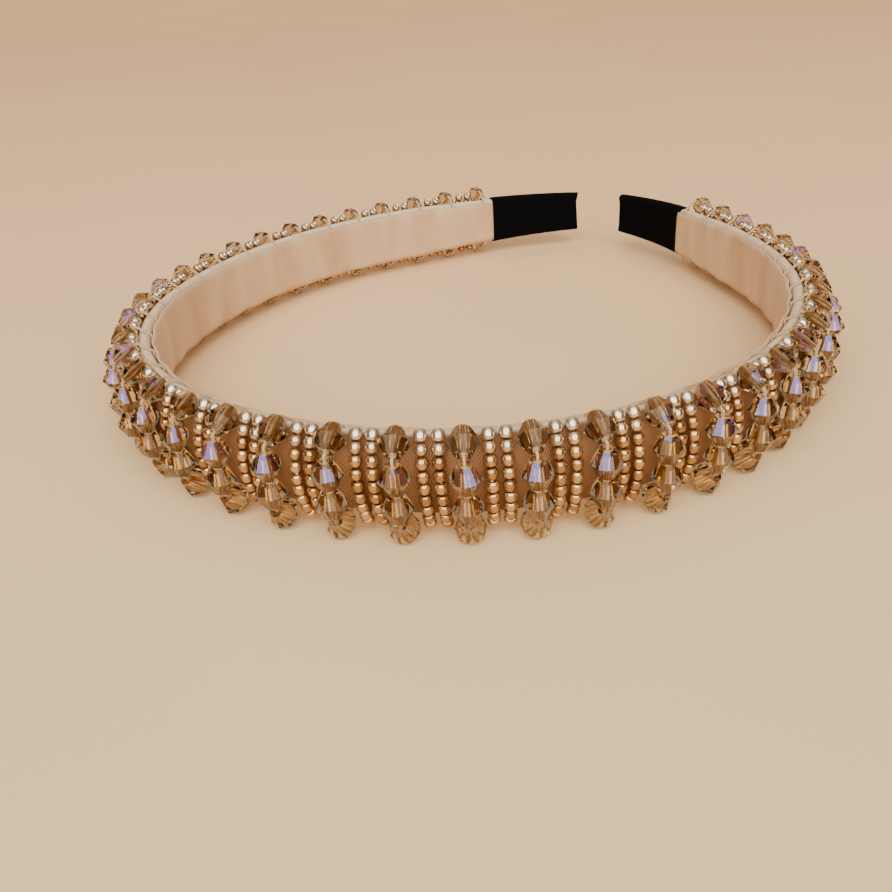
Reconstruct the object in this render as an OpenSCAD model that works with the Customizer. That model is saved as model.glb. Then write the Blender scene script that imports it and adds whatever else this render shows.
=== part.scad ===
// Crystal headband: a nearly closed plastic hoop in a ribbon cover, wrapped all round with
// threads of cut bicone crystals and strings of small seed beads. It lies on its edge:
// +Z is the width of the band, the crown is towards -Y and the two tips towards +Y.
// The origin is on the surface it lies on, in the middle of the loop.

/* [Loop outline, on the inner face of the cover] */
// Radius at the crown
crown_radius = 51.7; // [51:0.1:52.4]
// Turn of the crown arc on each side of the middle, in degrees
crown_half_angle = 75.3; // [74.5:0.1:76]
// Radius of the sides
side_radius = 68; // [67:0.5:69]
// Turn of each side, in degrees
side_angle = 51.7; // [51:0.1:52.4]
// Radius of the flatter run before the tips
flank_radius = 245; // [220:5:270]
// Turn of each flatter run, in degrees
flank_angle = 5.8; // [5.4:0.1:6.2]
// Radius of the tips
tip_radius = 58.5; // [57:0.5:60]
// Turn of each tip, in degrees
tip_angle = 21.5; // [21:0.1:22]

/* [Band section] */
// Width of the covered band
band_h = 11.2; // [11:0.1:11.4]
// Width that it narrows to at the tips
tip_h = 7.9; // [7.6:0.1:8.4]
// Length of each tip over which it narrows
taper_len = 40; // [36:1:44]
// Thickness of the covered band in the middle, where its outer face bulges
band_t = 3.3; // [3.2:0.05:3.4]
// Radius of its two edges
edge_r = 1; // [0.9:0.05:1.1]
// Thickness of the ribbons
ribbon_t = 0.4; // [0.3:0.05:0.5]
// Width of the lining ribbon on the inner face
lining_h = 9.8; // [8:0.2:10.2]

/* [Sleeves on the tips] */
// Length of each sleeve along the outer face, where the last crystals leave room for it
sleeve_len = 22.4; // [16:0.2:22.6]
// Thickness of the sleeve's cloth
sleeve_t = 0.4; // [0.3:0.05:0.5]
// How far the middle of the sleeve's end is drawn in behind its corners
sleeve_draw_in = 0.8; // [0.4:0.1:1]

/* [Crystals] */
// Distance between the crystal threads along the outer face
wrap_pitch = 8; // [7.9:0.05:8.1]
// Crystal threads on each side of the one at the crown
wraps_per_side = 20; // [12:1:20]
// Length of a crystal along its bore
crystal_len = 3.8; // [3.7:0.05:3.9]
// Width of a crystal across the flats of its girdle
crystal_w = 3.8; // [3.7:0.05:3.9]
// Width of the flat table at each end
table_w = 1.8; // [1.6:0.05:1.9]
// Bore through each crystal
crystal_bore = 0.9; // [0.7:0.05:1]
// Lean of the first crystal over the top edge, in degrees
top_lean = 58; // [56:0.5:60]
// Lean of the last crystal under the bottom edge, in degrees
bottom_lean = 48; // [46:0.5:50]
// Distance from the outer face to the bores of the two middle crystals
thread_out = 2.6; // [2.5:0.05:2.8]
// Depth below the top edge at which the two middle crystals meet
thread_drop = 5.7; // [5.6:0.05:5.8]
// Largest sideways lean of a thread as it was wound, in degrees
sway = 2.5; // [0:0.5:3]

/* [Seed beads] */
// Diameter of a string of seed beads
seed_w = 1.8; // [1.7:0.05:1.85]
// Distance between the two strings of a pair
seed_spacing = 2.1; // [2.05:0.05:2.15]
// Turn of the strings from the band's outward direction to each of their ends, in degrees
seed_turn = 70; // [64:1:74]

/* [Thread] */
// Width of the beading thread
thread_w = 0.3; // [0.2:0.05:0.3]

/* [Hidden] */
$fa = 3;
$fs = 0.25;

// Clearance between pieces, and what each table keeps clear of the next
piece_gap = 0.1;
table_gap = 0.06;

// Every second arc of a piece is fuller by this step, and the others lap into it
joint_step = 0.02;
joint_lap = 0.5;
string_lap = 0.25;

// Facets round a crystal's girdle, and the angle between two of them
crystal_sides = 8;
facet_step = 360 / crystal_sides;

// Turn per thread of the two waves that make the sway, and per thread and per crystal of
// the wave that turns the crystals
sway_waves = [47, 19];
spin_waves = [137, 83];

// How far the top crystals may turn, so that a flat stays towards the band's edge
top_spin = 4;

arc_radii = [crown_radius, side_radius, flank_radius, tip_radius];
arc_angles = [crown_half_angle, side_angle, flank_angle, tip_angle];
tip_arc = len(arc_radii) - 1;

// Heading of the band where arc i begins, turned from +X, and the way out at a heading
function heading(i) = i == 0 ? 0 : heading(i - 1) + arc_angles[i - 1];
function way_out(angle) = [sin(angle), -cos(angle)];

// The two arcs that meet share a tangent, so the centre moves along the way out
function chained(i) =
    i == 0 ? [0, 0] : chained(i - 1) + (arc_radii[i - 1] - arc_radii[i]) * way_out(heading(i));

// The bulge of the outer face is an arc that runs into both edges, and the angle on each
// side of the middle at which it meets them
edge_reach = band_h / 2 - edge_r;
bulge_r = (pow(edge_reach, 2) + band_t * (band_t - 2 * edge_r)) / (2 * (band_t - 2 * edge_r));
bulge_angle = asin(edge_reach / (bulge_r - edge_r));

// The end of a sleeve is drawn in along this radius, between small flats at its corners
sleeve_off = piece_gap + sleeve_t;
corner_flat = 0.2;
draw_reach = tip_h / 2 + sleeve_off - corner_flat;
draw_r = (pow(draw_reach, 2) + pow(sleeve_draw_in, 2)) / (2 * sleeve_draw_in);

// The origin lies midway between the crown's outermost crystal and the ends of the sleeves
girdle_r = crystal_w / 2 / cos(facet_step / 2);
crown_reach = crown_radius + band_t + thread_out + girdle_r;
end_heading = heading(tip_arc + 1);
tip_reach = chained(tip_arc)[1] + (tip_radius + band_t + sleeve_off) * way_out(end_heading)[1]
    - sleeve_draw_in * sin(end_heading);
loop_shift = [0, (crown_reach - tip_reach) / 2];
function centre(i) = chained(i) + loop_shift;

// Length along the outer face, where the beads are spaced
function arc_len(i) = (arc_radii[i] + band_t) * arc_angles[i] * PI / 180;
function len_before(i) = i == 0 ? 0 : len_before(i - 1) + arc_len(i - 1);
function arc_at(s, i = 0) = i == tip_arc || s < len_before(i + 1) ? i : arc_at(s, i + 1);
function heading_at(s, i) = heading(i) + (s - len_before(i)) / (arc_radii[i] + band_t) * 180 / PI;
function tip_turn(length) = length / (tip_radius + band_t) * 180 / PI;
band_len = len_before(tip_arc + 1);

// Turn of arc i that lies within a length from the crown
function turn_within(i, length) =
    max(0, min(arc_angles[i], (length - len_before(i)) / (arc_radii[i] + band_t) * 180 / PI));

// The band narrows on its last two arcs. Half its width at a distance inside the tip.
taper_arc = tip_arc - 1;
taper_reach = band_len - len_before(taper_arc) + 1;
function half_width(inside) = tip_h / 2 + inside * (band_h - tip_h) / (2 * taper_len);

// How far the hoop stays behind the closed end of its sleeve, the length that the sleeve
// takes, and the lining's distance inside the cover
sleeve_end = 1.3;
last_turn = wraps_per_side * wrap_pitch;
sleeve_room = band_len - last_turn - girdle_r - piece_gap;
sleeve_l = min(sleeve_len, sleeve_room);
lining_off = 2 * piece_gap + thread_w;

// The crystal thread seen along the band, from the bottom edge up: [outwards, upwards].
// Each joint leaves the gap that two tables need where the thread bends, and the thread
// passes the outer tables by little enough that the crystals stay the lowest.
function joint_gap(bend) = table_w / 2 * tan(bend / 2) + table_gap;
function up_and_in(angle) = [-sin(angle), cos(angle)];
function down_and_in(angle) = [-sin(angle), -cos(angle)];
half_len = crystal_len / 2;
middle_joint = [band_t + thread_out, band_h - thread_drop];
upper_joint = middle_joint + [0, joint_gap(0) + crystal_len + joint_gap(top_lean)];
lower_joint = middle_joint - [0, joint_gap(0) + crystal_len + joint_gap(bottom_lean)];
crystal_at = [
    upper_joint + (joint_gap(top_lean) + half_len) * up_and_in(top_lean),
    middle_joint + [0, joint_gap(0) + half_len],
    middle_joint - [0, joint_gap(0) + half_len],
    lower_joint + (joint_gap(bottom_lean) + half_len) * down_and_in(bottom_lean)
];
crystal_lean = [-top_lean, 0, 0, bottom_lean];
past_table = 1.35 * thread_w;
thread_top = crystal_at[0] + (half_len + past_table) * up_and_in(top_lean);
thread_bottom = crystal_at[3] + (half_len + past_table) * down_and_in(bottom_lean);

// The lowest table corner of the last crystals stands on the surface
table_corner = table_w / 2 / cos(facet_step / 2);
band_z = half_len * cos(bottom_lean) + table_corner * sin(bottom_lean) - crystal_at[3][1];

// The thread goes round each edge of the band on straight runs that clear its rounding
thread_clear = edge_r + piece_gap + thread_w / 2;
function edge_corner(edge, end, side) =
    let (away = end - edge,
         reach = norm(away),
         touch = atan2(away[1] * side, away[0]) + acos(thread_clear / reach),
         half = (180 - touch) / 2)
    edge + thread_clear / cos(half) * [cos(180 - half), side * sin(180 - half)];
thread_path = [
    thread_top,
    edge_corner([edge_r, band_h - edge_r], thread_top, 1),
    edge_corner([edge_r, edge_r], thread_bottom, -1),
    thread_bottom,
    lower_joint,
    upper_joint
];

// Offsets a closed path by moving each corner along the mean of its two sides' normals
function side_normal(a, b) = let (d = b - a) [d[1], -d[0]] / norm(d);
function offset_path(path, d) = [
    for (i = [0 : len(path) - 1])
        let (n = len(path),
             before = side_normal(path[(i + n - 1) % n], path[i]),
             after = side_normal(path[i], path[(i + 1) % n]))
        path[i] + d * (before + after) / (1 + before * after)
];

// Small uneven sway of the threads along the band, nearly the same for neighbours, and the
// turn of each crystal on its thread
function thread_sway(k) = sway * (sin(sway_waves[0] * k) + sin(sway_waves[1] * k)) / 2;
function crystal_spin(k, j) =
    (j == 0 ? top_spin : facet_step / 2) * sin(spin_waves[0] * k + spin_waves[1] * j);

// The covered band's section, drawn in by an inset: flat inside and bulging outside
module band_section(inset) {
    r = edge_r - inset;
    far = 2 * bulge_r;
    for (z = [edge_r, band_h - edge_r])
        translate([edge_r, z]) circle(r);
    translate([inset, edge_r]) square([r, 2 * edge_reach]);
    translate([band_t - bulge_r, band_h / 2])
        intersection() {
            circle(bulge_r - inset);
            polygon([
                [bulge_r - band_t + edge_r, -edge_reach],
                [far, -far * tan(bulge_angle)],
                [far, far * tan(bulge_angle)],
                [bulge_r - band_t + edge_r, edge_reach]
            ]);
        }
}

// Keeps of a piece what lies between the planes that narrow the band, drawn in by an inset
module tapered(inset) {
    wide = half_width(taper_reach) - inset;
    narrow = half_width(-1) - inset;
    intersection() {
        children();
        translate([centre(tip_arc)[0], centre(tip_arc)[1], band_z + band_h / 2])
            rotate([0, 0, end_heading - 90]) translate([tip_radius, 0, 0]) rotate([90, 0, 90])
                linear_extrude(height = 2 * taper_reach, center = true)
                    polygon([
                        [-taper_reach, -wide], [1, -narrow], [1, narrow], [-taper_reach, wide]
                    ]);
    }
}

// Draws a section along one arc of the band, turned by the angles given
module along_arc(i, from, turn) {
    translate([centre(i)[0], centre(i)[1], band_z])
        rotate_extrude(angle = turn, start = from - 90)
            translate([arc_radii[i], 0]) children();
}

// Draws a section along the arcs from one to another, as far as a length from the crown.
// The section reads $full, by which it is drawn fuller on the odd arcs.
module along_arcs(first, last, length) {
    for (i = [first : last]) {
        lap = i % 2 == 0 ? joint_lap / arc_radii[i] * 180 / PI : 0;
        turn = turn_within(i, length);
        end_lap = turn < arc_angles[i] ? 0 : lap;
        if (turn > 0)
            along_arc(i, heading(i) - lap, turn + lap + end_lap, $full = joint_step * (i % 2))
                children();
    }
}

// Draws a section along both sides of the band, narrowed with it by planes that are drawn
// in by an inset
module along_band(length, inset) {
    for (side = [0, 1])
        mirror([side, 0, 0]) {
            along_arcs(1, taper_arc - 1, length) children();
            tapered(inset) along_arcs(taper_arc, tip_arc, length) children();
        }
    crown_turn = crown_half_angle + joint_lap / crown_radius * 180 / PI;
    along_arc(0, -crown_turn, 2 * crown_turn, $full = 0) children();
}

// Places a piece at length s from the crown: +X out of the loop, +Y along the band
module at_length(s) {
    side = s < 0 ? -1 : 1;
    i = arc_at(abs(s));
    translate([side * centre(i)[0], centre(i)[1], band_z])
        rotate([0, 0, side * heading_at(abs(s), i) - 90])
            translate([arc_radii[i], 0, 0]) children();
}

// Leans a thread sideways about the middle of the band's width
module swayed(k) {
    translate([0, 0, band_h / 2]) rotate([thread_sway(k), 0, 0])
        translate([0, 0, -band_h / 2]) children();
}

// One pair of opposite facets above and below the girdle, as a bar across the crystal
module facet_bar(turn) {
    rotate([0, 0, turn]) rotate([90, 0, 0])
        linear_extrude(height = 2 * crystal_w, center = true)
            polygon([
                [table_w / 2, -half_len], [crystal_w / 2, 0], [table_w / 2, half_len],
                [-table_w / 2, half_len], [-crystal_w / 2, 0], [-table_w / 2, -half_len]
            ]);
}

// An eight-sided bicone with a table at each end, drilled through
module crystal() {
    difference() {
        intersection() {
            facet_bar(0);
            facet_bar(facet_step);
            facet_bar(2 * facet_step);
            facet_bar(3 * facet_step);
        }
        cylinder(h = crystal_len + 1, d = crystal_bore, center = true);
    }
}

// The four crystals of each thread from one number to another, counted from the crown
module crystals(first, last) {
    color([0.80, 0.62, 0.42, 0.75])
        for (k = [first : last])
            at_length(k * wrap_pitch) swayed(k)
                for (j = [0 : 3])
                    translate([crystal_at[j][0], 0, crystal_at[j][1]])
                        rotate([0, crystal_lean[j], 0]) rotate([0, 0, crystal_spin(k, j)])
                            crystal();
}

module crystals_left() {
    crystals(-wraps_per_side, -1);
}

module crystals_right() {
    crystals(0, wraps_per_side);
}

// Two strings side by side, with the thread web between them, drawn fuller by a step
module string_pair(full) {
    for (side = [-1, 1])
        translate([0, side * seed_spacing / 2]) circle(d = seed_w + 2 * full);
    square([seed_w / 2 + 2 * full, seed_spacing], center = true);
}

// Bends the two strings about an axis that lies along the band
module bent_strings(radius, from, turn, full) {
    rotate([90, 0, 0]) rotate_extrude(angle = turn, start = from)
        translate([radius + piece_gap + seed_w / 2, 0]) string_pair(full);
}

// One pair of seed bead strings: down the outer face and part of the way round both edges
module seed_pair() {
    bulge_turn = bulge_angle + string_lap / bulge_r * 180 / PI;
    translate([band_t - bulge_r, 0, band_h / 2])
        bent_strings(bulge_r, -bulge_turn, 2 * bulge_turn, 0);
    translate([edge_r, 0, band_h / 2])
        for (edge = [0, 1])
            mirror([0, 0, edge]) translate([0, 0, edge_reach])
                bent_strings(edge_r, bulge_angle, seed_turn - bulge_angle, joint_step);
}

module seed_strings(first, last) {
    color([0.83, 0.62, 0.40])
        for (k = [first : last])
            at_length((k + 0.5) * wrap_pitch) swayed(k + 0.5) seed_pair();
}

module seed_strings_left() {
    seed_strings(-wraps_per_side, -1);
}

module seed_strings_right() {
    seed_strings(0, wraps_per_side - 1);
}

// The band drawn in by an inset, as a solid that ends a length past the hoop's ends
module cored(inset, past) {
    along_band(band_len - sleeve_end - piece_gap + past, inset) band_section(inset - $full);
}

// Plastic hoop that gives the band its spring
module hoop() {
    color([0.93, 0.92, 0.88]) cored(ribbon_t + piece_gap, 0);
}

// Ribbon folded round the hoop
module cover_ribbon() {
    color([0.90, 0.83, 0.71])
        difference() {
            cored(0, 0);
            cored(ribbon_t, joint_lap);
        }
}

// Narrower ribbon glued over the threads on the inner face
module lining_ribbon() {
    color([0.80, 0.72, 0.60])
        along_band(band_len - sleeve_l - 3 * piece_gap, (band_h - lining_h) / 2)
            translate([-lining_off - ribbon_t / 2, band_h / 2])
                square([ribbon_t + $full, lining_h + $full], center = true);
}

// Black cloth sleeve over one tip, closed at its end, where it is drawn in
module end_sleeve() {
    turn = tip_turn(sleeve_l);
    color([0.06, 0.06, 0.06])
        difference() {
            tapered(-sleeve_off)
                along_arc(tip_arc, end_heading - turn, turn) band_section(-sleeve_off);
            tapered(-piece_gap)
                along_arc(tip_arc, end_heading - 2 * turn, 2 * turn - tip_turn(sleeve_end))
                    band_section(-piece_gap);
            translate([centre(tip_arc)[0], centre(tip_arc)[1], band_z + band_h / 2])
                rotate([0, 0, end_heading - 90])
                    translate([tip_radius, draw_r - sleeve_draw_in, 0]) rotate([0, 90, 0])
                        cylinder(h = 4 * band_t, r = draw_r, center = true);
        }
}

module end_sleeve_left() {
    mirror([1, 0, 0]) end_sleeve();
}

module end_sleeve_right() {
    end_sleeve();
}

// One turn of thread through its four crystals and round the inside of the band
module thread_turn() {
    rotate([90, 0, 0]) linear_extrude(height = thread_w, center = true)
        difference() {
            polygon(offset_path(thread_path, thread_w / 2));
            polygon(offset_path(thread_path, -thread_w / 2));
        }
}

// All the turns, joined by the run behind the band from each turn to the next
module bead_thread() {
    run_t = thread_w / 2;
    color([0.92, 0.86, 0.76]) {
        for (k = [-wraps_per_side : wraps_per_side])
            at_length(k * wrap_pitch) swayed(k) thread_turn();
        along_band(last_turn, 0)
            translate([-piece_gap - thread_w / 2, band_h / 2])
                square([run_t + $full, thread_w + $full], center = true);
    }
}

hoop();
cover_ribbon();
lining_ribbon();
end_sleeve_left();
end_sleeve_right();
bead_thread();
crystals_left();
crystals_right();
seed_strings_left();
seed_strings_right();
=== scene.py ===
import math

import bpy
import numpy as np
from mathutils import Matrix, Vector


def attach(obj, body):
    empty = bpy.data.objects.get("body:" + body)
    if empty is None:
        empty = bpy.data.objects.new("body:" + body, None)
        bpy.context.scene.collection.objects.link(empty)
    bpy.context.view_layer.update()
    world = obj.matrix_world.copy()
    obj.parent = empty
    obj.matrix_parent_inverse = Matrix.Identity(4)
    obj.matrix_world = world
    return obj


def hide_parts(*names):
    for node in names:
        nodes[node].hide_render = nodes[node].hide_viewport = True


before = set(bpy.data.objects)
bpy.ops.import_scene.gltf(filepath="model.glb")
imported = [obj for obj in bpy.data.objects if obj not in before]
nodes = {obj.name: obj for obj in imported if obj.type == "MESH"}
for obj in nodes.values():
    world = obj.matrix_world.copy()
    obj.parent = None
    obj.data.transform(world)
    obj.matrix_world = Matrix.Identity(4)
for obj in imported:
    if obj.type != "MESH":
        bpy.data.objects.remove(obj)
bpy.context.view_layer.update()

MM = 0.001

# Sizes in millimetres and degrees, the same as in the part's source
ARC_RADII = [51.7, 68, 245, 58.5]
ARC_ANGLES = [75.3, 51.7, 5.8, 21.5]
BAND_H = 11.2
BAND_T = 3.3
EDGE_R = 1.0
TIP_H = 7.9
TAPER_LEN = 40
RIBBON_T = 0.4
LINING_H = 9.8
SLEEVE_LEN = 22.4
SLEEVE_T = 0.4
SLEEVE_DRAW = 0.8
SLEEVE_END = 1.3
CORNER_FLAT = 0.2
GAP = 0.1
PITCH = 8.0
PER_SIDE = 20
CRYSTAL_LEN = 3.8
CRYSTAL_W = 3.8
CRYSTAL_SIDES = 8
TABLE_W = 1.8
TABLE_GAP = 0.06
BOTTOM_LEAN = 48
THREAD_OUT = 2.6
THREAD_DROP = 5.7
THREAD_W = 0.3
SEED_W = 1.8
SEED_SPACING = 2.1
SWAY = 2.5
SWAY_WAVES = [47, 19]

# Single seed beads on each string: their count and pitch, and the first one's turn above the band's
# middle, seen from the centre of the edge's rounding
BEADS = 9
BEAD_PITCH = 1.60
FIRST_TURN = 41

# How unevenly they sit: a string's shift, and a bead's slide, sideways step and tilt in radians.
# A bead's width and length are shares of the string's width and of the pitch, and the first bead
# of each string, at the rim, has its own.
STRING_SHIFT = 0.06
BEAD_SLIDE = 0.04
BEAD_STEP = 0.03
BEAD_TILT = 0.045
BEAD_WIDE = (0.92, 0.99)
BEAD_LONG = (0.86, 0.95)
RIM_WIDE = 1.0
RIM_LONG = 1.02

# A small smooth wander is the sum of a few waves, whose rates go up by this step
WAVES = 4
WAVE_STEP = 1.7
# About a full turn in radians, the range of the waves' starts and of the beads' spins
FULL_TURN = 6.28

# Colours, from the darker to the lighter. The cover is cream at its rim, and brown-orange where it
# lies under the beads, which is painted shade and painted reflection of the gold beads there.
CREAM = ((0.60, 0.41, 0.22), (0.88, 0.68, 0.44))
SHADE_AND_REFLECTION_UNDER_BEADS = ((0.12, 0.038, 0.007), (0.43, 0.185, 0.055))
LINING_CLOTH = ((0.50, 0.28, 0.12), (0.76, 0.52, 0.30))
BLACK_CLOTH = ((0.0008, 0.0008, 0.0009), (0.003, 0.003, 0.0033))
CUT_GLASS = ((0.80, 0.61, 0.37), (0.90, 0.74, 0.50))
THREAD = ((0.52, 0.35, 0.18), (0.62, 0.44, 0.25))
BAR_PLASTIC = ((0.80, 0.78, 0.72), (0.86, 0.85, 0.80))
STRAW = ((0.80, 0.56, 0.27), (0.84, 0.60, 0.30))
PEACH = ((0.90, 0.54, 0.26), (0.94, 0.58, 0.29))
GOLD_LINED = [(0.0, (0.40, 0.20, 0.065)), (0.5, (0.55, 0.31, 0.12)), (1.0, (0.70, 0.46, 0.21))]
# Painted reflection of the window on the seed beads at the rim
PAINTED_WINDOW_SHINE = (0.70, 0.56, 0.38)
AMBER_GLINT = (0.85, 0.60, 0.36)
WHITE = (1, 1, 1)

# The camera was found by fitting the part's own sizes to the photograph: its focal length in pixels
# of the square frame, its height above the surface, the place and turn of the loop seen from it, in
# millimetres and radians, and its tilt down and roll
FRAME_PX = 892
FOCAL_PX = 901.45
EYE_H = 62.309
LOOP_X = 9.261
LOOP_Y = 156.766
LOOP_TURN = -0.47888
TILT_DOWN = 0.48872
ROLL = -0.06473

# The floor seen from the camera, in metres: it runs up into a wall behind the loop, and turns from
# straw to peach between two distances behind the middle of the loop
FLOOR_NEAR = -2.5
FLOOR_FAR = 1.2
FLOOR_SIDE = 6.0
BEND_R = 3.0
WALL_TOP = 4.5
TURN_FROM = -0.12
TURN_TO = 0.10


def sind(a):
    return np.sin(np.radians(a))


def cosd(a):
    return np.cos(np.radians(a))


def way_out(a):
    """Unit direction out of the loop at a heading of a degrees from the crown."""
    return np.stack([sind(a), -cosd(a)], -1)


# Form of the loop
last_arc = len(ARC_RADII) - 1
headings = np.concatenate([[0], np.cumsum(ARC_ANGLES)])
centres = [np.zeros(2)]
for arc in range(last_arc):
    centres.append(centres[-1] + (ARC_RADII[arc] - ARC_RADII[arc + 1]) * way_out(headings[arc + 1]))
starts = [0.0]
for radius, angle in zip(ARC_RADII, ARC_ANGLES):
    starts.append(starts[-1] + (radius + BAND_T) * math.radians(angle))
half_len = starts[-1]

# Form of the band's section: its outer face bulges in an arc between the roundings of its edges
edge_reach = BAND_H / 2 - EDGE_R
bulge_rise = BAND_T - 2 * EDGE_R
bulge_r = (edge_reach**2 + BAND_T * bulge_rise) / (2 * bulge_rise)
bulge_angle = math.degrees(math.asin(edge_reach / (bulge_r - EDGE_R)))

# The end of a sleeve is drawn in along this radius, between small flats at its corners
draw_reach = TIP_H / 2 + GAP + SLEEVE_T - CORNER_FLAT
draw_r = (draw_reach**2 + SLEEVE_DRAW**2) / (2 * SLEEVE_DRAW)

# The origin lies midway between the crown's outermost crystal and the ends of the sleeves
half_facet = 180 / CRYSTAL_SIDES
girdle_r = CRYSTAL_W / 2 / cosd(half_facet)
crown_reach = ARC_RADII[0] + BAND_T + THREAD_OUT + girdle_r
tip_r = ARC_RADII[last_arc] + BAND_T + GAP + SLEEVE_T
tip_reach = centres[last_arc][1] - tip_r * cosd(headings[-1]) - SLEEVE_DRAW * sind(headings[-1])
centres = np.array(centres) + [0, (crown_reach - tip_reach) / 2]


def joint_gap(bend):
    """Gap from a crystal's table to the middle of a joint where the thread bends by bend degrees."""
    return TABLE_W / 2 * math.tan(math.radians(bend / 2)) + TABLE_GAP


# Height of the band's lower edge above the surface, on which the lowest crystals stand
table_corner = TABLE_W / 2 / cosd(half_facet)
low_joint = BAND_H - THREAD_DROP - joint_gap(0) - CRYSTAL_LEN - joint_gap(BOTTOM_LEAN)
last_z = low_joint - (joint_gap(BOTTOM_LEAN) + CRYSTAL_LEN / 2) * cosd(BOTTOM_LEAN)
band_z = CRYSTAL_LEN / 2 * cosd(BOTTOM_LEAN) + table_corner * sind(BOTTOM_LEAN) - last_z


def heading_at(s):
    """Arc number and heading in degrees at length s, 0 or more, along the outer face."""
    i = np.clip(np.searchsorted(starts, s, side="right") - 1, 0, last_arc)
    run = s - np.array(starts)[i]
    return i, headings[i] + np.degrees(run / (np.array(ARC_RADII)[i] + BAND_T))


def place(s, r, z):
    """Points in metres at length s along the outer face from the crown, r outside the inner face
    and z above the band's lower edge."""
    s, r, z = np.broadcast_arrays(np.asarray(s, float), r, z)
    i, heading = heading_at(np.abs(s))
    p = centres[i] + (np.array(ARC_RADII)[i] + r)[..., None] * way_out(heading)
    side = np.where(s < 0, -1, 1)
    return np.stack([side * p[..., 0], p[..., 1], band_z + z], -1) * MM


def axes_at(s):
    """Columns: out of the loop, along the band, up."""
    i, heading = heading_at(abs(s))
    h = math.copysign(1, s) * heading
    out = np.array([sind(h), -cosd(h), 0])
    along = np.array([cosd(h), sind(h), 0])
    return np.stack([out, along, np.array([0, 0, 1.0])], 1)


def sway_of(k):
    """Sideways lean in degrees of what is wound k pitches from the crown."""
    return SWAY * (sind(SWAY_WAVES[0] * k) + sind(SWAY_WAVES[1] * k)) / 2


def waves(x, seed, base=1.0):
    """A small smooth wander over x, the same on every run."""
    rng = np.random.default_rng(seed)
    x = np.asarray(x, float)
    total = np.zeros_like(x)
    for n in range(WAVES):
        total = total + np.sin(x * base * (1 + WAVE_STEP * n) + rng.uniform(0, FULL_TURN)) / (1 + n)
    return total / 2


# Mesh helpers
def add_mesh(name, verts, faces, uvs=None):
    """A smooth mesh piece from points in metres. uvs has one pair per face corner."""
    mesh = bpy.data.meshes.new(name)
    mesh.from_pydata([tuple(v) for v in verts], [], faces)
    if uvs is not None:
        layer = mesh.uv_layers.new(name="UVMap")
        layer.data.foreach_set("uv", np.asarray(uvs, np.float32).ravel())
    mesh.polygons.foreach_set("use_smooth", [True] * len(mesh.polygons))
    mesh.update()
    obj = bpy.data.objects.new(name, mesh)
    bpy.context.scene.collection.objects.link(obj)
    return obj


def swept(name, grid, u, v):
    """A skin over a grid of points, n along by m round, with a cap at each end. u and v are real
    lengths in metres, and v has one entry more than the grid, for the seam."""
    n, m = grid.shape[:2]
    faces = []
    uvs = []
    for i in range(n - 1):
        for j in range(m):
            k = (j + 1) % m
            faces.append((i * m + j, i * m + k, (i + 1) * m + k, (i + 1) * m + j))
            uvs += [(u[i], v[j]), (u[i], v[j + 1]), (u[i + 1], v[j + 1]), (u[i + 1], v[j])]
    for i, order in ((0, -1), (n - 1, 1)):
        faces.append(tuple(range(i * m, i * m + m))[::order])
        uvs += [(u[i], v[j]) for j in range(m)]
    return add_mesh(name, grid.reshape(-1, 3), faces, uvs)


def girth(section):
    """Lengths in metres round a closed section of points in mm, from 0 to the whole girth."""
    step = np.linalg.norm(np.roll(section, -1, 0) - section, axis=1)
    return np.concatenate([[0], np.cumsum(step)]) * MM


def band_section(inset, bulge_points=14, flat_points=10, edge_points=18):
    """The covered band's section as (r, z) points, anticlockwise from the lower end of the bulging
    outer face."""
    r = EDGE_R - inset
    bulge = bulge_r - inset
    top_z = BAND_H / 2 + edge_reach
    low_z = BAND_H / 2 - edge_reach

    def edge(turn_from, turn_to, middle_z):
        turns = np.linspace(turn_from, turn_to, edge_points)[1:-1]
        return [(EDGE_R + r * cosd(a), middle_z + r * sind(a)) for a in turns]

    turns = np.linspace(-bulge_angle, bulge_angle, bulge_points)
    outer = [(BAND_T - bulge_r + bulge * cosd(a), BAND_H / 2 + bulge * sind(a)) for a in turns]
    top = edge(bulge_angle, 180, top_z)
    inner = [(EDGE_R - r, z) for z in np.linspace(top_z, low_z, flat_points)]
    low = edge(180, 360 - bulge_angle, low_z)
    return np.array(outer + top + inner + low)


def half_width(s):
    """Half the covered band's width at length s: it narrows towards the tips."""
    inside = (half_len - np.abs(s)) * ARC_RADII[last_arc] / (ARC_RADII[last_arc] + BAND_T)
    return np.minimum(BAND_H / 2, TIP_H / 2 + inside * (BAND_H - TIP_H) / (2 * TAPER_LEN))


def narrowed(s, z, inset):
    """Height z of a section that is drawn in by an inset, where the band has narrowed."""
    return BAND_H / 2 + (z - BAND_H / 2) * (half_width(s) - inset) / (BAND_H / 2 - inset)


# Material helpers
def new_material(name):
    """A material with its node tree and its one shader."""
    mat = bpy.data.materials.new(name)
    mat.use_nodes = True
    tree = mat.node_tree
    tree.nodes.clear()
    out = tree.nodes.new("ShaderNodeOutputMaterial")
    shader = tree.nodes.new("ShaderNodeBsdfPrincipled")
    tree.links.new(shader.outputs[0], out.inputs["Surface"])
    return mat, tree, shader


def set_inputs(n, **values):
    """Sets a node's inputs by their names, which have underscores here for spaces."""
    for key, value in values.items():
        n.inputs[key.replace("_", " ")].default_value = value


def node(tree, kind, **values):
    """A new node with some of its inputs set."""
    n = tree.nodes.new(kind)
    set_inputs(n, **values)
    return n


def feed(tree, socket, value):
    """Links a socket to another node's output, or sets it to a plain value."""
    if isinstance(value, bpy.types.NodeSocket):
        tree.links.new(value, socket)
    else:
        socket.default_value = value


def math_node(tree, operation, a, b, clamp=False):
    n = node(tree, "ShaderNodeMath")
    n.operation = operation
    n.use_clamp = clamp
    feed(tree, n.inputs[0], a)
    feed(tree, n.inputs[1], b)
    return n.outputs[0]


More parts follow.
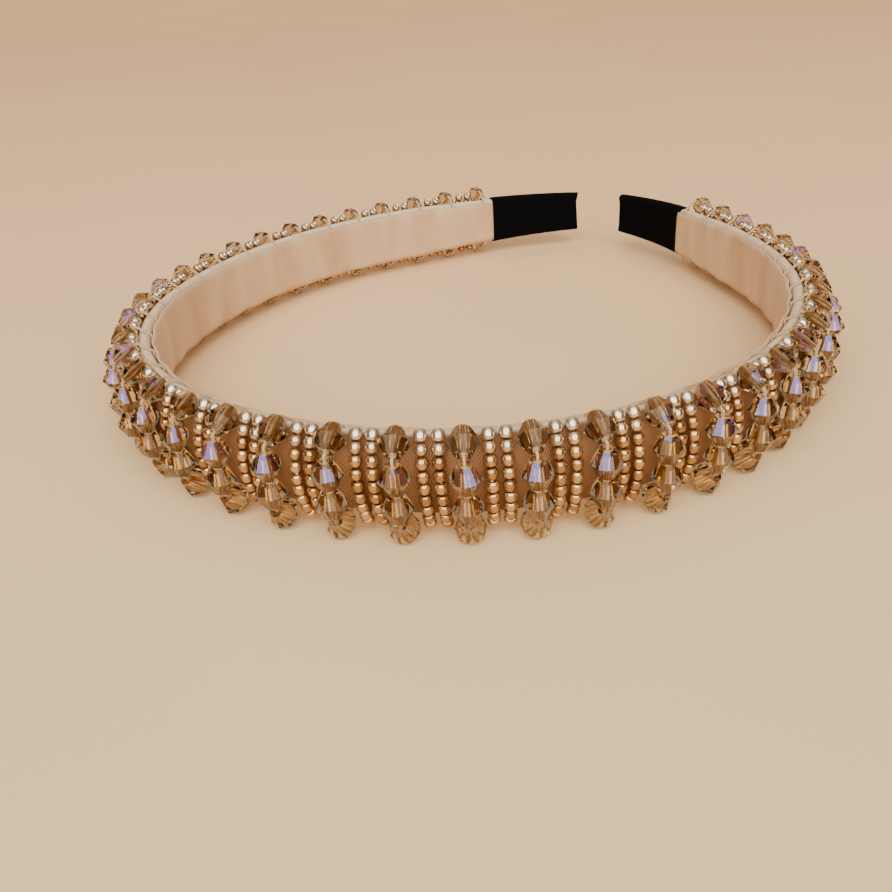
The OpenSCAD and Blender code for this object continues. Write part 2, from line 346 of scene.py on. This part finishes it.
def mixed(tree, factor, a, b):
    """A colour from a to b by a factor."""
    n = node(tree, "ShaderNodeMix")
    n.data_type = "RGBA"
    tree.links.new(factor, n.inputs["Factor"])
    feed(tree, n.inputs["A"], a)
    feed(tree, n.inputs["B"], b)
    return n.outputs["Result"]


def ramp(tree, factor, stops):
    """A colour ramp over a factor. A stop is a position and a colour."""
    n = node(tree, "ShaderNodeValToRGB")
    elements = n.color_ramp.elements
    for element, (position, colour) in ((elements[0], stops[0]), (elements[1], stops[-1])):
        element.position = position
        element.color = (*colour, 1)
    for position, colour in stops[1:-1]:
        elements.new(position).color = (*colour, 1)
    tree.links.new(factor, n.inputs[0])
    return n.outputs[0]


def shades(tree, factor, colours, low=0.3, high=0.7):
    """A ramp from the darker to the lighter of two colours."""
    return ramp(tree, factor, [(low, colours[0]), (high, colours[1])])


def greys(dark, light):
    return (dark,) * 3, (light,) * 3


def noise(tree, vector, scale, detail):
    n = node(tree, "ShaderNodeTexNoise", Scale=scale, Detail=detail)
    tree.links.new(vector, n.inputs["Vector"])
    return n.outputs["Fac"]


def bands(tree, vector, direction, period, distortion, **values):
    """Smooth stripes with a period in mm. At a scale of 1 there are 20 stripes in 2 pi metres."""
    scale = 2 * math.pi / 20 / (period * MM)
    n = node(tree, "ShaderNodeTexWave", Scale=scale, Distortion=distortion, **values)
    n.bands_direction = direction
    tree.links.new(vector, n.inputs["Vector"])
    return n.outputs["Fac"]


def coordinates(tree):
    return node(tree, "ShaderNodeTexCoord").outputs["Object"]


def uv_lengths(tree):
    n = node(tree, "ShaderNodeUVMap")
    n.uv_map = "UVMap"
    return n.outputs[0]


def split(tree, vector):
    n = node(tree, "ShaderNodeSeparateXYZ")
    tree.links.new(vector, n.inputs[0])
    return n.outputs


def mapped(tree, vector, **values):
    """A vector that is turned or scaled."""
    n = node(tree, "ShaderNodeMapping", **values)
    tree.links.new(vector, n.inputs[0])
    return n.outputs[0]


def bump(tree, shader, height, distance, strength):
    n = node(tree, "ShaderNodeBump", Distance=distance, Strength=strength)
    tree.links.new(height, n.inputs["Height"])
    tree.links.new(n.outputs[0], shader.inputs["Normal"])


def dress(obj, material):
    """Puts one material on a CAD node or a new piece."""
    obj.data.materials.clear()
    obj.data.materials.append(material)


# Camera
def in_part(v):
    """Turns a vector from the camera's floor axes, x to its right and y away from it, into the
    part's axes."""
    c = math.cos(-LOOP_TURN)
    s = math.sin(-LOOP_TURN)
    return Vector((c * v[0] - s * v[1], s * v[0] + c * v[1], v[2]))


def make_camera():
    data = bpy.data.cameras.new("camera")
    data.sensor_width = 36
    data.lens = FOCAL_PX / FRAME_PX * data.sensor_width
    data.clip_start = 0.005
    data.clip_end = 100
    camera = bpy.data.objects.new("camera", data)
    bpy.context.scene.collection.objects.link(camera)
    forward = Vector((0, math.cos(TILT_DOWN), -math.sin(TILT_DOWN)))
    right = Vector((1, 0, 0))
    up = right.cross(forward)
    across = math.cos(ROLL) * right + math.sin(ROLL) * up
    upward = -math.sin(ROLL) * right + math.cos(ROLL) * up
    turned = Matrix([in_part(across), in_part(upward), in_part(-forward)]).transposed()
    at = in_part((-LOOP_X, -LOOP_Y, EYE_H)) * MM
    camera.matrix_world = Matrix.Translation(at) @ turned.to_4x4()
    bpy.context.scene.camera = camera


# Floor, world and lights
def floor_material():
    mat, tree, shader = new_material("floor_pale")
    here = coordinates(tree)
    grain = noise(tree, here, scale=6.0, detail=4.0)
    behind = node(tree, "ShaderNodeVectorMath")
    behind.operation = "DOT_PRODUCT"
    tree.links.new(here, behind.inputs[0])
    behind.inputs[1].default_value = in_part((0, 1, 0))
    turning = node(tree, "ShaderNodeMapRange", From_Min=TURN_FROM, From_Max=TURN_TO)
    tree.links.new(behind.outputs["Value"], turning.inputs["Value"])
    near = shades(tree, grain, STRAW)
    far = shades(tree, grain, PEACH)
    tone = mixed(tree, turning.outputs["Result"], near, far)
    tree.links.new(tone, shader.inputs["Base Color"])
    set_inputs(shader, Roughness=0.75)
    return mat


def make_floor():
    turns = np.linspace(0, 90, 25)
    bend = [(FLOOR_FAR + BEND_R * sind(a), BEND_R * (1 - cosd(a))) for a in turns]
    line = [(FLOOR_NEAR, 0.0)] + bend + [(FLOOR_FAR + BEND_R, WALL_TOP)]
    verts = [in_part((x, y, z)) for y, z in line for x in (-FLOOR_SIDE, FLOOR_SIDE)]
    faces = [(2 * i, 2 * i + 1, 2 * i + 3, 2 * i + 2) for i in range(len(line) - 1)]
    floor = add_mesh("floor", verts, faces)
    dress(floor, floor_material())


def make_world():
    """A dark room at eye level under a paler ceiling, which gives the metal beads their contrast."""
    world = bpy.data.worlds.new("studio")
    world.use_nodes = True
    tree = world.node_tree
    sky = tree.nodes["Background"]
    height = split(tree, node(tree, "ShaderNodeTexCoord").outputs["Generated"])["Z"]
    stops = [
        (0.0, (0.30, 0.20, 0.13)),
        (0.22, (0.16, 0.11, 0.08)),
        (0.55, (0.55, 0.52, 0.50)),
        (1.0, (0.95, 0.97, 1.0)),
    ]
    tree.links.new(ramp(tree, height, stops), sky.inputs["Color"])
    set_inputs(sky, Strength=0.55)
    bpy.context.scene.world = world


def add_light(name, kind, energy, colour, direction):
    data = bpy.data.lights.new(name, kind)
    data.energy = energy
    data.color = colour
    light = bpy.data.objects.new(name, data)
    bpy.context.scene.collection.objects.link(light)
    light.rotation_mode = "QUATERNION"
    light.rotation_quaternion = Vector(direction).to_track_quat("-Z", "Y")
    return light


def soft_light(name, at, towards, size, power, colour):
    """A rectangular window of light. Places and sizes are in metres."""
    light = add_light(name, "AREA", power, colour, Vector(towards) - Vector(at))
    light.location = at
    light.data.shape = "RECTANGLE"
    light.data.size = size[0]
    light.data.size_y = size[1]
    return light


def make_lights():
    window = soft_light(
        "window",
        at=(0.24, -0.52, 0.40),
        towards=(0, 0, 0),
        size=(1.10, 0.70),
        power=7.6,
        colour=(0.96, 0.98, 1.0),
    )
    soft_light(
        "far_window",
        at=(-0.60, 0.90, 1.40),
        towards=(-0.35, 0.60, 0),
        size=(1.60, 1.20),
        power=3.5,
        colour=(1.0, 0.98, 0.95),
    )
    even = add_light("even", "SUN", energy=1.95, colour=(1.0, 0.97, 0.93), direction=(-0.50, 0.80, -1))
    even.data.angle = math.radians(80)
    # Cut glass throws what is behind the camera straight back as white corners, so the two lights
    # on that side don't show through it
    window.visible_transmission = False
    even.visible_transmission = False


# Crystals
def crystal_material():
    """Champagne glass. A thin coating that flashes lavender lies on the upper half of the second
    crystal of many threads, and on the first crystal of fewer."""
    coated_from = 0.44
    fewer_first = 0.18
    film_nm = 307.0
    mat, tree, shader = new_material("crystal_champagne")
    here = coordinates(tree)
    height = split(tree, here)["Z"]
    lot = noise(tree, here, scale=110.0, detail=0.0)
    second_z = (band_z + BAND_H - THREAD_DROP + joint_gap(0) + CRYSTAL_LEN / 2) * MM
    upper = math_node(tree, "GREATER_THAN", height, second_z)
    first = math_node(tree, "GREATER_THAN", height, second_z + CRYSTAL_LEN / 2 * MM)
    share = math_node(tree, "ADD", math_node(tree, "MULTIPLY", first, fewer_first), coated_from)
    coated = math_node(tree, "MULTIPLY", upper, math_node(tree, "GREATER_THAN", lot, share))
    film = math_node(tree, "MULTIPLY", coated, film_nm)
    tree.links.new(film, shader.inputs["Thin Film Thickness"])
    tree.links.new(shades(tree, lot, CUT_GLASS), shader.inputs["Base Color"])
    tint = mixed(tree, coated, (*AMBER_GLINT, 1), (*WHITE, 1))
    tree.links.new(tint, shader.inputs["Specular Tint"])
    set_inputs(shader, Roughness=0.02, IOR=1.57, Transmission_Weight=1.0, Thin_Film_IOR=1.85)
    return mat


# Single seed beads
string_off = GAP + SEED_W / 2
bulge_run = (bulge_r + string_off) * math.radians(bulge_angle)
first_t = -bulge_run - math.radians(FIRST_TURN - bulge_angle) * (EDGE_R + string_off)


def on_string(t):
    """Point (out, up) and downward direction at length t below the middle of a string."""
    side = 1 if t < 0 else -1
    far = abs(t)
    if far <= bulge_run:
        a = far / (bulge_r + string_off)
        r = bulge_r + string_off
        at = (BAND_T - bulge_r + r * math.cos(a), r * math.sin(a))
    else:
        a = math.radians(bulge_angle) + (far - bulge_run) / (EDGE_R + string_off)
        r = EDGE_R + string_off
        at = (EDGE_R + r * math.cos(a), edge_reach + r * math.sin(a))
    return (at[0], BAND_H / 2 + side * at[1]), (side * math.sin(a), -math.cos(a))


def bead_shape(rings=13, segments=14, bore=0.42, fullness=0.75):
    """A short rounded tube along Z with its bore, half its length and its radius both 1."""
    rises = np.linspace(-90, 90, rings)
    profile = [(bore + (1 - bore) * max(0.0, cosd(a)) ** fullness, -sind(a)) for a in rises]
    turns = [2 * math.pi * k / segments for k in range(segments)]
    verts = [(r * math.cos(a), r * math.sin(a), z) for r, z in profile for a in turns]
    faces = []
    for i in range(rings):
        low = i * segments
        top = (i + 1) % rings * segments
        for k in range(segments):
            after = (k + 1) % segments
            faces.append((low + k, top + k, top + after, low + after))
    return np.array(verts), np.array(faces)


def bead_points(shape, rng, n, shift, column):
    """Points in mm of bead n of a string, as (out, along the band, up) from the foot of the inner
    face."""
    t = first_t + n * BEAD_PITCH + shift * (n > 0) + rng.uniform(-BEAD_SLIDE, BEAD_SLIDE)
    (r, z), down = on_string(t)
    axis = np.array([down[0], 0, down[1]])
    side = np.array([0, 1.0, 0])
    tilt = rng.normal(0, BEAD_TILT, 2)
    axis = axis + tilt[0] * side + tilt[1] * np.cross(side, axis)
    axis /= np.linalg.norm(axis)
    third = np.cross(side, axis)
    third /= np.linalg.norm(third)
    second = np.cross(axis, third)
    spin = rng.uniform(0, FULL_TURN)
    across = math.cos(spin) * third + math.sin(spin) * second
    around = -math.sin(spin) * third + math.cos(spin) * second
    wide = SEED_W / 2 * (RIM_WIDE if n == 0 else rng.uniform(*BEAD_WIDE))
    long = BEAD_PITCH / 2 * (RIM_LONG if n == 0 else rng.uniform(*BEAD_LONG))
    points = shape * [wide, wide, long] @ np.stack([across, around, axis])
    return points + [r, column * SEED_SPACING / 2 + rng.uniform(-BEAD_STEP, BEAD_STEP), z]


def on_band(points, k):
    """Carries such points to k pitches from the crown, with the sway there, in metres."""
    lean = math.radians(sway_of(k))
    c = math.cos(lean)
    s = math.sin(lean)
    sway = np.array([[1, 0, 0], [0, c, -s], [0, s, c]])
    middle = [0, 0, BAND_H / 2]
    swayed = (points - middle) @ sway.T + middle
    return (swayed @ axes_at(k * PITCH).T + place(k * PITCH, 0, 0) / MM) * MM


def seed_field(name, first, last, seed):
    """All single beads of one side as one mesh. A bead's UV holds its own tone and its place on the
    string, both from 0 to 1."""
    shape, faces = bead_shape()
    rng = np.random.default_rng(seed)
    verts = []
    all_faces = []
    uvs = []
    for k in range(first, last + 1):
        for column in (-1, 1):
            shift = rng.uniform(-STRING_SHIFT, STRING_SHIFT)
            for n in range(BEADS):
                all_faces.append(faces + len(verts) * len(shape))
                verts.append(on_band(bead_points(shape, rng, n, shift, column), k + 0.5))
                uvs.append(np.tile([rng.uniform(0, 1), n / (BEADS - 1)], (faces.size, 1)))
    return add_mesh(name, np.concatenate(verts), np.concatenate(all_faces).tolist(), np.concatenate(uvs))


def seed_material():
    """Gold-lined glass, shown as tinted metal under a clear coat. The beads that stand up at the rim are
    paler, a painted reflection of the window that makes them look silvery."""
    mat, tree, shader = new_material("seed_gold_lined")
    parts = split(tree, uv_lengths(tree))
    tone = ramp(tree, parts["X"], GOLD_LINED)
    # Painted reflection of the window: the first beads of each string, at the rim, are paler and more
    # silvery
    pale = ramp(tree, parts["Y"], [(0.04, (1.0, 1.0, 1.0)), (0.22, (0.0, 0.0, 0.0))])
    tree.links.new(mixed(tree, pale, tone, (*PAINTED_WINDOW_SHINE, 1)), shader.inputs["Base Color"])
    scuff = noise(tree, coordinates(tree), scale=2500.0, detail=3.0)
    rough = shades(tree, scuff, greys(0.11, 0.25), high=0.75)
    tree.links.new(rough, shader.inputs["Roughness"])
    bump(tree, shader, scuff, distance=0.00002, strength=0.5)
    set_inputs(shader, Metallic=0.92, Coat_Weight=0.6, Coat_Roughness=0.05)
    return mat


def make_seed_beads():
    material = seed_material()
    sides = (("seed_beads_left", -PER_SIDE, -1, 11), ("seed_beads_right", 0, PER_SIDE - 1, 23))
    for name, first, last, seed in sides:
        beads = seed_field(name, first, last, seed)
        dress(beads, material)
        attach(beads, "root")
        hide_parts(name.replace("beads", "strings"))


# Ribbons
def ribbon_material(name, colours, rib, lean, sheen, rough, drift, face=None):
    """Ribbed satin: ribs rib mm apart across the ribbon, at a slant of lean degrees, over a fine
    weave, with a slow change of tone by the share drift. face has the length in metres round the
    section up to which it has other colours, for painted shade and painted reflection, and those
    colours."""
    weft_period = 0.11
    rib_share = 0.75
    fade_len = 0.6
    worn = 0.15
    mat, tree, shader = new_material(name)
    uv = uv_lengths(tree)
    turned = mapped(tree, uv, Rotation=(0, 0, math.radians(lean)))
    ribs = bands(tree, turned, "X", rib, distortion=0.6, Detail=1.0, Detail_Scale=3.0)
    weft = bands(tree, turned, "Y", weft_period, distortion=1.0)
    slow = noise(tree, mapped(tree, uv, Scale=(1.0, 0.25, 1.0)), scale=160.0, detail=4.0)
    rib_height = math_node(tree, "MULTIPLY", ribs, rib_share)
    height = math_node(tree, "ADD", rib_height, math_node(tree, "MULTIPLY", weft, 1 - rib_share))
    woven = math_node(tree, "MULTIPLY", height, 1 - drift)
    shade = math_node(tree, "ADD", woven, math_node(tree, "MULTIPLY", slow, drift))
    tone = shades(tree, shade, colours, low=0.25, high=0.75)
    if face:
        face_len, shade_colours = face
        # Painted shade and painted reflection on the face, mottled by the same slow change of tone,
        # fading into the rim's colours
        inside = math_node(tree, "SUBTRACT", face_len, split(tree, uv)["Y"])
        in_painted_shade = math_node(tree, "MULTIPLY", inside, 1 / (fade_len * MM), clamp=True)
        tone = mixed(tree, in_painted_shade, tone, shades(tree, shade, shade_colours, low=0.25, high=0.75))
    tree.links.new(tone, shader.inputs["Base Color"])
    roughness = shades(tree, slow, greys(rough, min(1, rough + worn)))
    tree.links.new(roughness, shader.inputs["Roughness"])
    bump(tree, shader, height, distance=0.00006, strength=0.7)
    set_inputs(shader, Sheen_Weight=sheen, Sheen_Roughness=0.4, Sheen_Tint=(1.0, 0.96, 0.90, 1))
    return mat


def cover_puff(su):
    """How far the cover stands out at its edges at lengths su. It puffs out between the threads, and
    evenly beyond the last one."""
    fullest = 0.14
    roundness = 1.5
    even_share = 0.4
    uneven = 0.35
    sunk = 0.02
    past_last = 1
    from_thread = np.abs((su / PITCH) - np.round(su / PITCH)) * 2
    wound = np.abs(su) < PER_SIDE * PITCH + past_last
    share = np.where(wound, np.sin(from_thread * math.pi / 2) ** roundness, even_share)
    return fullest * share * (1 + uneven * waves(su, seed=5, base=0.9)) - sunk


def make_cover():
    """The cover ribbon. Only the inner half of each edge puffs out, where no beads lie over it."""
    puff_from = 75
    past_bulge = 0.8
    reach = half_len - SLEEVE_END - GAP
    su = np.linspace(-reach, reach, 729)
    puff = cover_puff(su)
    section = band_section(0)
    grid = np.zeros((len(su), len(section), 3))
    for j, (r, z) in enumerate(section):
        up = 1 if z > BAND_H / 2 else -1
        rise = z - (BAND_H - EDGE_R) if up > 0 else EDGE_R - z
        turn = math.degrees(math.atan2(rise, r - EDGE_R))
        within = np.clip((turn - puff_from) / (180 - puff_from), 0, 1)
        step = puff * sind(within * 180) if turn > 0 else 0.0
        heights = narrowed(su, z + up * sind(turn) * step, 0)
        grid[:, j] = place(su, r + cosd(turn) * step, heights)
    cover = swept("cover_cloth_piece", grid, su * MM, girth(section))
    # The face under the beads gets painted shade and painted reflection of the gold beads
    face = ((2 * math.radians(bulge_angle) * bulge_r + past_bulge) * MM, SHADE_AND_REFLECTION_UNDER_BEADS)
    satin = ribbon_material(
        "cover_ribbed_satin", CREAM, rib=0.28, lean=28, sheen=0.05, rough=0.5, drift=0.4, face=face
    )
    dress(cover, satin)
    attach(cover, "root")
    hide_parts("cover_ribbon")


def make_lining():
    """The lining ribbon. Its edges spread, and between two threads they are pressed onto the cover."""
    spread = 0.28
    spread_uneven = 0.08
    pressed = 0.30
    ripple = 0.06
    lift = 0.05
    reach = half_len - SLEEVE_LEN - 3 * GAP
    su = np.linspace(-reach, reach, 649)
    between = np.sin(math.pi * su / PITCH) ** 2
    edge_wave = {1: waves(su, seed=31, base=0.55), -1: waves(su, seed=37, base=0.55)}
    inset = (BAND_H - LINING_H) / 2
    zs = np.linspace(inset, BAND_H - inset, 15)
    thread_side = -2 * GAP - THREAD_W
    head_side = thread_side - RIBBON_T
    section = np.array([(thread_side, z) for z in zs] + [(head_side, z) for z in zs[::-1]])
    grid = np.zeros((len(su), len(section), 3))
    for j, (r, z) in enumerate(section):
        side = 1 if z > BAND_H / 2 else -1
        off_middle = abs(z - BAND_H / 2) / (LINING_H / 2)
        dz = side * (spread + spread_uneven * edge_wave[side]) * off_middle**4
        give = 1 if r < thread_side else 0.5
        dr = (ripple * waves(su + 3 * z, seed=41, base=0.8) * off_middle + lift) * give
        onto_cover = pressed * off_middle**6 * between
        grid[:, j] = place(su, r + onto_cover - dr, narrowed(su, z + dz, inset))
    lining = swept("lining_cloth_piece", grid, su * MM, girth(section))
    satin = ribbon_material(
        "lining_satin", LINING_CLOTH, rib=0.35, lean=0, sheen=0.1, rough=0.45, drift=0.85
    )
    dress(lining, satin)
    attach(lining, "root")
    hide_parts("lining_ribbon")


# Black sleeves
def sleeve_material():
    yarn = 0.22
    fuzz_share = 0.6
    mat, tree, shader = new_material("sleeve_black_cloth")
    uv = uv_lengths(tree)
    warp = bands(tree, uv, "X", yarn, distortion=1.2)
    weft = bands(tree, uv, "Y", yarn, distortion=1.2)
    fuzz = math_node(tree, "MULTIPLY", noise(tree, uv, scale=9000.0, detail=4.0), fuzz_share)
    height = math_node(tree, "ADD", math_node(tree, "MAXIMUM", warp, weft), fuzz)
    tone = shades(tree, height, BLACK_CLOTH, low=0.4, high=1.0)
    tree.links.new(tone, shader.inputs["Base Color"])
    bump(tree, shader, height, distance=0.00005, strength=0.8)
    set_inputs(shader, Roughness=0.95, Specular_IOR_Level=0.04)
    return mat


def mouth_roll(s):
    """How far the outer skin rolls in at distance s from a sleeve's mouth."""
    roll_len = 0.4
    towards_mouth = max(0.0, (roll_len - s) / roll_len)
    return SLEEVE_T / 2 * (1 - math.sqrt(1 - towards_mouth**2))


def drawn_in(heights, s):
    """How far a sleeve's end is drawn in: an arc in height, with full draw at mid height and none
    at the corners, that fades over a length towards the mouth."""
    draw_len = 6
    off_middle = np.clip(np.abs(heights - BAND_H / 2), 0, draw_reach)
    depth = np.sqrt(draw_r**2 - off_middle**2) - draw_r + SLEEVE_DRAW
    return depth * np.clip((s - SLEEVE_LEN + draw_len) / draw_len, 0, 1) ** 2


def inner_ring(side, s):
    """Points of a sleeve's inner skin at distance s from its mouth."""
    along = half_len - SLEEVE_LEN + s
    r, z = band_section(-GAP).T
    return place(side * along, r, narrowed(along, z, -GAP))


def outer_ring(side, s):
    """Points of its outer skin there, with its rolled mouth, small creases and drawn-in end."""
    set_back = 0.05
    crease_depth = 0.06
    crease_from = 2
    rate_along = 0.9
    rate_around = 2.0
    along = half_len - SLEEVE_LEN + s
    inner = band_section(-GAP)
    outer = band_section(-GAP - SLEEVE_T)
    normal = (outer - inner) / np.linalg.norm(outer - inner, axis=1)[:, None]
    around = np.arange(len(outer)) / len(outer) * FULL_TURN
    wander = waves(rate_along * s + rate_around * around, seed=53)
    crease = crease_depth * wander * min(1, s / crease_from)
    r, z = (outer - normal * (mouth_roll(s) + set_back + np.abs(crease)[:, None])).T
    heights = narrowed(along, z, -GAP - SLEEVE_T)
    return place(side * (along - drawn_in(heights, s)), r, heights)


def make_sleeve(name, side, material):
    """A closed sleeve of cloth: its inner skin from inside the end to the mouth, then its outer one
    back to the end."""
    distances = np.concatenate([[0, 0.12, 0.4], np.linspace(0.9, SLEEVE_LEN, 44)])
    inside = np.minimum(distances[::-1], SLEEVE_LEN - SLEEVE_END)
    rings = [inner_ring(side, s) for s in inside] + [outer_ring(side, s) for s in distances]
    lengths = np.concatenate([distances[::-1], -distances]) * MM
    obj = swept(name, np.array(rings), lengths, girth(band_section(-GAP - SLEEVE_T)))
    dress(obj, material)
    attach(obj, "root")
    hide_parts("end_sleeve_left" if side < 0 else "end_sleeve_right")


# Thread and plastic bar
def plain_material(name, colours, scale, depth, rough):
    """One finish with a fine grain in its tone and its surface."""
    mat, tree, shader = new_material(name)
    grain = noise(tree, coordinates(tree), scale, detail=3.0)
    tree.links.new(shades(tree, grain, colours), shader.inputs["Base Color"])
    bump(tree, shader, grain, distance=depth, strength=0.4)
    set_inputs(shader, Roughness=rough)
    return mat


def dress_nodes():
    """Materials of the CAD nodes that stay as they are."""
    crystal = crystal_material()
    dress(nodes["crystals_left"], crystal)
    dress(nodes["crystals_right"], crystal)
    thread = plain_material("beading_thread", THREAD, scale=4000.0, depth=0.00002, rough=0.5)
    dress(nodes["bead_thread"], thread)
    plastic = plain_material("hoop_plastic_matte", BAR_PLASTIC, scale=400.0, depth=0.00003, rough=0.45)
    dress(nodes["hoop"], plastic)


make_camera()
make_floor()
make_world()
make_lights()
dress_nodes()
make_seed_beads()
make_cover()
make_lining()
black_cloth = sleeve_material()
make_sleeve("sleeve_cloth_left", -1, black_cloth)
make_sleeve("sleeve_cloth_right", 1, black_cloth)
